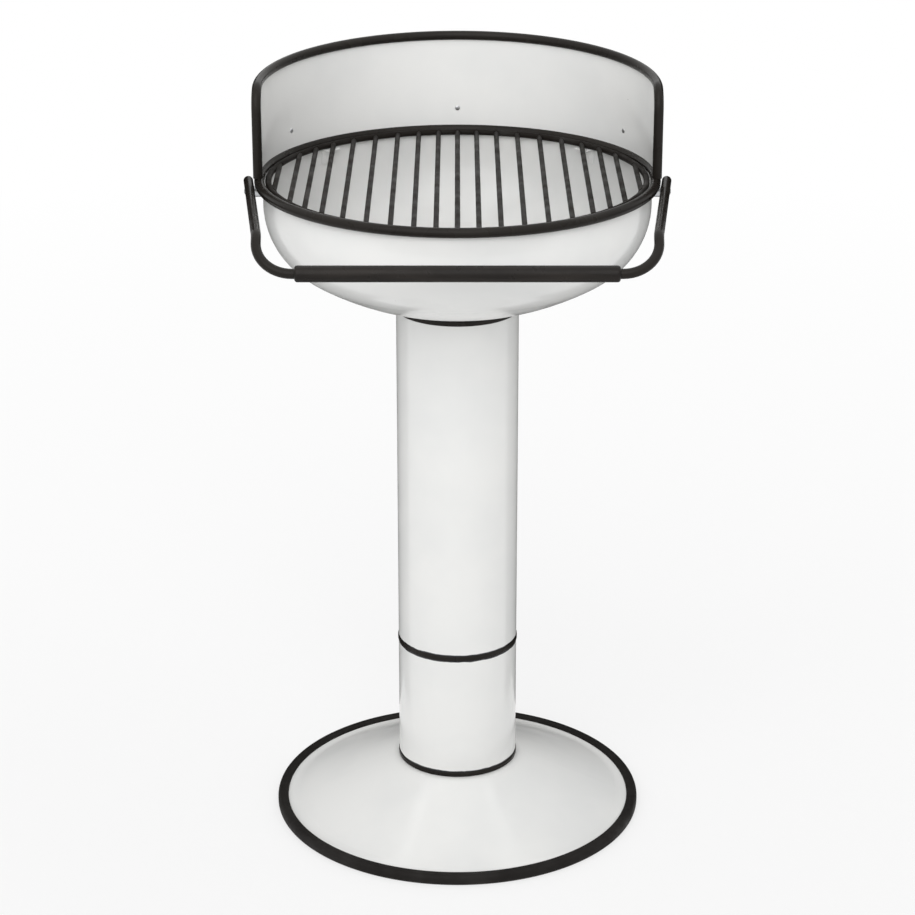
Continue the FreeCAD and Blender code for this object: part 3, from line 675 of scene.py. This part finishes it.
def upright_seam(degrees, low, high):
    """Dressed weld up a rolled tube, short of its ends."""
    depth = pillar_radius - SEAM_SUNK
    start = polar(depth, degrees, low.z + SEAM_END)
    end = polar(depth, degrees, high.z - SEAM_END)
    return bead(straight(start, end, round((end - start).length / SEAM_STEP)), SEAM, SEAM_RIPPLE)


def port_lip(degrees):
    """Raised edge round one air port of the sleeve."""
    middle = sleeve_high.z - PORT_BELOW_TOP
    across = PORT_HALF_WIDTH - PORT_CORNER
    up = PORT_HALF_HEIGHT - PORT_CORNER
    turn = Matrix.Rotation(math.radians(degrees), 4, "Z")
    outline = corner(across, middle + up, PORT_CORNER, 0, PORT_CORNER_STEPS)
    outline += corner(-across, middle + up, PORT_CORNER, 90, PORT_CORNER_STEPS)
    outline += corner(-across, middle - up, PORT_CORNER, 180, PORT_CORNER_STEPS)
    outline += corner(across, middle - up, PORT_CORNER, 270, PORT_CORNER_STEPS)
    path = []
    for side, height in outline:
        path.append(turn @ Vector((math.sqrt(pillar_radius**2 - side**2), side, height)))
    return bead(path, PORT_LIP, closed=True)


def hoop_tacks():
    """Short welds outside, where the windscreen's sheet meets its hoop."""
    radius = rim_radius + SHEET / 2 + TACK_PROUD
    tacks = []
    for middle in TACK_ANGLES:
        path = []
        for step in range(-TACK_HALF_STEPS, TACK_HALF_STEPS + 1):
            angle = middle + TACK_STEP * step
            fall = HOOP_FALL * (1 - math.sin(math.radians(angle)))
            path.append(polar(radius, angle, hoop_z - ROD - fall))
        tacks.append(bead(path, TACK, WELD_RIPPLE))
    return tacks


def ear_welds():
    """Welds between the handle's rod and the plates under its ends, short of the spacers inside."""
    arm_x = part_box("handle_rod")[1].x - ROD
    arm_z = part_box("handle_rod")[1].z - ROD
    welds = []
    for side in (-1, 1):
        for face, end in ((-EAR_SHEET / 2, EAR_WELD_INSIDE_END), (EAR_SHEET / 2, EAR_WELD_OUTSIDE_END)):
            path = []
            for step in range(round((end - EAR_WELD_START) / MM) + 1):
                y = EAR_WELD_START + step * MM
                off = face - min(y, 0.0) * math.tan(ARM_LEAN)
                drop = math.sqrt(ROD**2 - off**2 - max(y, 0.0) ** 2)
                path.append(Vector((side * (arm_x + face), y, arm_z - drop)))
            welds.append(bead(path, EAR_WELD, EAR_WELD_RIPPLE))
    return welds


def pan_welds():
    """Welds at the feet of the ash pan's wire handle."""
    low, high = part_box("ash_pan_handle")
    welds = []
    for side in (-1, 1):
        for edge in (-1, 1):
            foot = Vector((side * high.x, edge * PAN_WELD_OFF, low.z + PAN_WELD_LIFT))
            top = foot + Vector((side * PAN_WELD_LEAN, 0, PAN_WELD_LENGTH))
            welds.append(bead(straight(foot, top, PAN_WELD_STEPS), PAN_WELD, WELD_RIPPLE))
    return welds


def grip_lines():
    """Flash that the two halves of the mould left along the grip."""
    low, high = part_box("handle_grip")
    middle = (low + high) / 2
    radius = (high.z - low.z) / 2
    reach = Vector((high.x - GRIP_LINE_END, 0, 0))
    lines = []
    for turn in GRIP_LINE_ANGLES:
        angle = math.radians(turn)
        spot = middle + Vector((0, math.cos(angle), math.sin(angle))) * radius
        path = straight(spot - reach, spot + reach, GRIP_LINE_STEPS)
        lines.append(bead(path, GRIP_LINE, sides=GRIP_LINE_SIDES))
    return lines


def ring_upper_side():
    """Section of the rubber ring from its outer side over the top to its lip."""
    side = corner(ring_outside - RING_ROUND, ring_top - RING_ROUND, RING_ROUND, 0)
    return side + corner(ring_inside + RING_LIP, ring_top - RING_LIP, RING_LIP, 90)


def rubber_ring():
    """Rubber ring on the floor, with a slot in its inner side for the plate's edge."""
    section = corner(ring_outside - RING_FOOT, RING_FOOT, RING_FOOT, -90) + ring_upper_side()
    section += [(ring_inside, PLATE_HIGH), (PLATE_RADIUS, PLATE_HIGH)]
    section += [(PLATE_RADIUS, PLATE_LOW), (ring_inside, PLATE_LOW)]
    section += corner(ring_inside + RING_FOOT, RING_FOOT, RING_FOOT, 180)
    return lathe(section, Matrix(), SPUN_SIDES, closed=True)


def ring_joint():
    """Vulcanised joint of the rubber ring, at the back."""
    section = [(ring_outside, RING_FOOT)] + ring_upper_side()
    return bead([polar(radius, BACK, height) for radius, height in section], RING_JOINT)


def rim_coat():
    """Thick black coat over the bowl's rolled rim."""
    size = RIM_BEAD + RIM_COAT
    turns = [2 * math.pi * step / RIM_STEPS for step in range(RIM_STEPS)]
    section = [(rim_radius + size * math.cos(turn), rim_z + size * math.sin(turn)) for turn in turns]
    return lathe(section, Matrix(), SPUN_SIDES, closed=True)


def rivet_tails():
    """Closed ends of the clips' rivets on the inner side of the windscreen."""
    inside = rim_radius - SHEET / 2
    tails = []
    for angle in CLIP_ANGLES:
        inwards = polar(-1, angle, 0)
        tails.append(dome(polar(inside, angle, rivet_z), inwards, RIVET_TAIL, RIVET_TAIL_RISE))
    return tails


def rest_welds():
    """Two spot welds on each lug that carries the cooking grate."""
    inside = rim_radius - RIM_BEAD - REST_SHEET
    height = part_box("grate_rests")[0].z + REST_WELD_LIFT
    spots = []
    for angle in REST_ANGLES:
        inwards = polar(-1, angle, 0)
        for turn in (-REST_WELD_TURN, REST_WELD_TURN):
            spots.append(dome(polar(inside, angle + turn, height), inwards, REST_WELD, REST_WELD_RISE))
    return spots


def knob_flutes(angle, height):
    """Share of the knob's radius that its flutes leave."""
    if not KNOB_FLUTES_LOW < height < KNOB_FLUTES_HIGH:
        return 1.0
    return 1 - KNOB_FLUTE_DEPTH * (0.5 + 0.5 * math.cos(KNOB_FLUTES * angle))


def fluted_knob():
    """Turned and fluted knob of the draught sleeve."""
    low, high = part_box("draught_knob")
    base = Vector((0, pillar_radius, (low.z + high.z) / 2))
    profile = [(KNOB_BORE, KNOB_BORE_DEPTH), (KNOB_BORE, 0.0), (KNOB_NECK, 0.0), (KNOB_NECK, KNOB_NECK_END)]
    profile += KNOB_FLARE
    profile.append((KNOB_HEAD, KNOB_HEAD_LOW))
    profile += corner(KNOB_HEAD - KNOB_CROWN, KNOB_HEAD_HIGH, KNOB_CROWN, 0, KNOB_CROWN_STEPS)
    profile += [(radius, KNOB_HEAD_HIGH + KNOB_CROWN) for radius in KNOB_TOP_RADII]
    return lathe(profile, facing(base, Vector((0, 1, 0))), KNOB_SIDES, knob_flutes)


def backdrop_rays(tree):
    """1 for rays that should see the plain white backdrop: from the camera, in gloss and through glass."""
    path = add(tree, "LightPath").outputs
    total = path["Is Camera Ray"]
    for kind in ("Is Glossy Ray", "Is Transmission Ray"):
        total = add(tree, "Math", {0: total, 1: path[kind]}, operation="MAXIMUM").outputs[0]
    return total


def studio_world():
    """Even light from all round, and a white backdrop."""
    world = bpy.data.worlds.new("studio")
    bpy.context.scene.world = world
    world.use_nodes = True
    tree = world.node_tree
    ambient = tree.nodes["Background"]
    put(tree, ambient.inputs["Color"], PURE_WHITE)
    put(tree, ambient.inputs["Strength"], AMBIENT)
    seen = add(tree, "Background", {"Color": PURE_WHITE, "Strength": 1.0})
    mix = add(tree, "MixShader", {0: backdrop_rays(tree), 1: ambient.outputs[0], 2: seen.outputs[0]})
    put(tree, tree.nodes["World Output"].inputs["Surface"], mix.outputs[0])


def flat_sheet(name, corners, material):
    mesh = bpy.data.meshes.new(name)
    mesh.from_pydata(corners, [], [range(len(corners))])
    mesh.materials.append(material)
    sheet = bpy.data.objects.new(name, mesh)
    bpy.context.scene.collection.objects.link(sheet)
    return sheet


def studio_floor():
    """Pale floor that keeps the shadow near the object and fades into the white backdrop."""
    material = bpy.data.materials.new("floor")
    material.use_nodes = True
    tree = material.node_tree
    tree.nodes.remove(tree.nodes["Principled BSDF"])
    paint = add(tree, "BsdfDiffuse", {"Color": FLOOR_COLOUR})
    glow = add(tree, "Emission", {"Strength": 1.0})
    place = add(tree, "TexCoord").outputs["Object"]
    distance = add(tree, "VectorMath", {0: place}, operation="LENGTH").outputs["Value"]
    inputs = {"Value": distance, "From Min": FLOOR_NEAR, "From Max": FLOOR_FAR, "To Min": FLOOR_GLOW}
    fade = add(tree, "MapRange", inputs).outputs["Result"]
    share = add(tree, "Math", {0: backdrop_rays(tree), 1: fade}, operation="MULTIPLY").outputs[0]
    mix = add(tree, "MixShader", {0: share, 1: paint.outputs[0], 2: glow.outputs[0]})
    put(tree, tree.nodes["Material Output"].inputs["Surface"], mix.outputs[0])
    half = FLOOR_HALF
    flat_sheet("floor", [(-half, -half, 0), (half, -half, 0), (half, half, 0), (-half, half, 0)], material)


def dark_cards():
    """Black cards beside, behind and under the object that only show in its gloss and draw its edges."""
    material = bpy.data.materials.new("card")
    material.use_nodes = True
    shader = material.node_tree.nodes["Principled BSDF"]
    shader.inputs["Base Color"].default_value = PURE_BLACK
    shader.inputs["Specular IOR Level"].default_value = 0.0
    left, right, top = -CARD_SIDE, CARD_SIDE, CARD_HEIGHT
    front, back = CARD_FRONT, CARD_BACK
    near, lift = CARD_FLOOR_FRONT, CARD_FLOOR_LIFT
    cards = {
        "card_back": [(left, back, 0), (right, back, 0), (right, back, top), (left, back, top)],
        "card_left": [(left, front, 0), (left, back, 0), (left, back, top), (left, front, top)],
        "card_right": [(right, front, 0), (right, back, 0), (right, back, top), (right, front, top)],
        "card_floor": [(left, near, lift), (right, near, lift), (right, back, lift), (left, back, lift)],
    }
    for name, corners in cards.items():
        card = flat_sheet(name, corners, material)
        card.visible_camera = False
        card.visible_diffuse = False
        card.visible_shadow = False
        card.visible_transmission = False


def sun(name, source, strength, degrees):
    lamp = bpy.data.lights.new(name, "SUN")
    lamp.energy = strength
    lamp.angle = math.radians(degrees)
    item = bpy.data.objects.new(name, lamp)
    item.rotation_euler = (-Vector(source)).to_track_quat("-Z", "Y").to_euler()
    bpy.context.scene.collection.objects.link(item)


def fill():
    """Gridded softbox over the handle, which lifts the shade inside the windscreen and the bowl."""
    lamp = bpy.data.lights.new("fill", "AREA")
    lamp.energy = FILL_POWER
    lamp.size = FILL_SIZE
    lamp.spread = math.radians(FILL_SPREAD)
    item = bpy.data.objects.new("fill", lamp)
    item.location = FILL_PLACE
    aim = Vector(FILL_TARGET) - Vector(FILL_PLACE)
    item.rotation_euler = aim.to_track_quat("-Z", "Y").to_euler()
    item.visible_camera = False
    item.visible_glossy = False
    bpy.context.scene.collection.objects.link(item)


def camera():
    lens = bpy.data.cameras.new("camera")
    lens.lens = CAMERA_LENS
    lens.sensor_width = CAMERA_SENSOR
    eye = bpy.data.objects.new("camera", lens)
    eye.location = (0, -CAMERA_BACK, CAMERA_HEIGHT)
    eye.rotation_euler = (math.radians(90 - CAMERA_PITCH), 0, 0)
    bpy.context.scene.collection.objects.link(eye)
    bpy.context.scene.camera = eye


# Finishes of the solids
white = white_enamel("enamel_white")
black = enamel("enamel_black", INK, INK_CLOUD, BLACK_ROUGH, BLACK_GLOSS)
grate_black = grate_enamel()
moulded_rubber = rubber()
resin = phenolic()
plated = zinc()
spangled = galvanised()
scaled = fire_scale()
dress(white, "base_plate", "column_flange", "grate_rests", "windscreen_sheet", "windscreen_clips")
dress(white_enamel("enamel_socket", edges=(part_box("socket_tube")[1].z,)), "socket_tube")
dress(white_enamel("enamel_column", edges=(column_low.z,)), "column_tube")
dress(white_enamel("enamel_sleeve", edges=(sleeve_low.z, sleeve_high.z)), "draught_sleeve")
dress(white_enamel("enamel_bowl", rim=True), "fire_bowl")
dress(black, "windscreen_hoop", "handle_rod", "support_ring", "bearing_ring", "bowl_collar")
dress(grate_black, "cooking_grate")
dress(resin, "handle_grip")
dress(plated, "socket_bolts", "bowl_bolts", "handle_bolts", "handle_spacers")
dress(plated, "windscreen_rivets", "sleeve_stop_pin", "draught_knob_stud")
dress(spangled, "ash_pan", "ash_pan_handle")
dress(woven_gasket(), "bowl_seal")
dress(scaled, "fire_grate")

# Details
cooking_welds = bar_welds(
    "cooking_grate", COOKING_RING_ROD, COOKING_BAR_ROD, COOKING_BARS, COOKING_END_GAP, COOKING_SPREAD
)
piece("cooking_grate_welds", cooking_welds, grate_black, "cooking_grate")
fire_welds = bar_welds("fire_grate", FIRE_RING_ROD, FIRE_BAR_ROD, FIRE_BARS, FIRE_END_GAP)
piece("fire_grate_welds", fire_welds, scaled, "fire_grate")
column_seam = upright_seam(BACK, column_low, column_high)
piece("column_seam", [column_seam], white, "pillar")
sleeve_seam = upright_seam(SLEEVE_SEAM, sleeve_low, sleeve_high)
piece("sleeve_seam", [sleeve_seam], white, "draught_sleeve")
port_lips = [port_lip(angle) for angle in PORT_ANGLES]
piece("port_lips", port_lips, black, "draught_sleeve")
piece("rim_coat", [rim_coat()], black, "pillar")
piece("hoop_tacks", hoop_tacks(), black, "pillar")
piece("ear_welds", ear_welds(), black, "pillar")
piece("ash_pan_welds", pan_welds(), spangled, "ash_pan")
piece("grip_lines", grip_lines(), resin, "pillar")
floor_ring = piece("rubber_ring", [rubber_ring()], moulded_rubber, "base")
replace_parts(floor_ring, "floor_ring")
piece("floor_ring_joint", [ring_joint()], moulded_rubber, "base")
piece("rivet_tails", rivet_tails(), plated, "pillar")
piece("rest_welds", rest_welds(), white, "pillar")
for node, body in (("socket_nuts", "base"), ("bowl_nuts", "pillar")):
    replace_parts(piece("chamfered_" + node, upright_nuts(node), plated, body), node)
handle_nuts = [hex_nut(facing(centre, Vector((1, 0, 0)))) for centre in solid_centres("handle_nuts")]
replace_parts(piece("chamfered_handle_nuts", handle_nuts, plated, "pillar"), "handle_nuts")
knob = piece("fluted_knob", [fluted_knob()], resin, "draught_sleeve")
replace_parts(knob, "draught_knob")

# Studio
bpy.context.scene.view_settings.view_transform = "Standard"
studio_world()
studio_floor()
dark_cards()
sun("key", KEY_FROM, KEY_STRENGTH, KEY_ANGLE)
sun("top", TOP_FROM, TOP_STRENGTH, TOP_ANGLE)
fill()
camera()
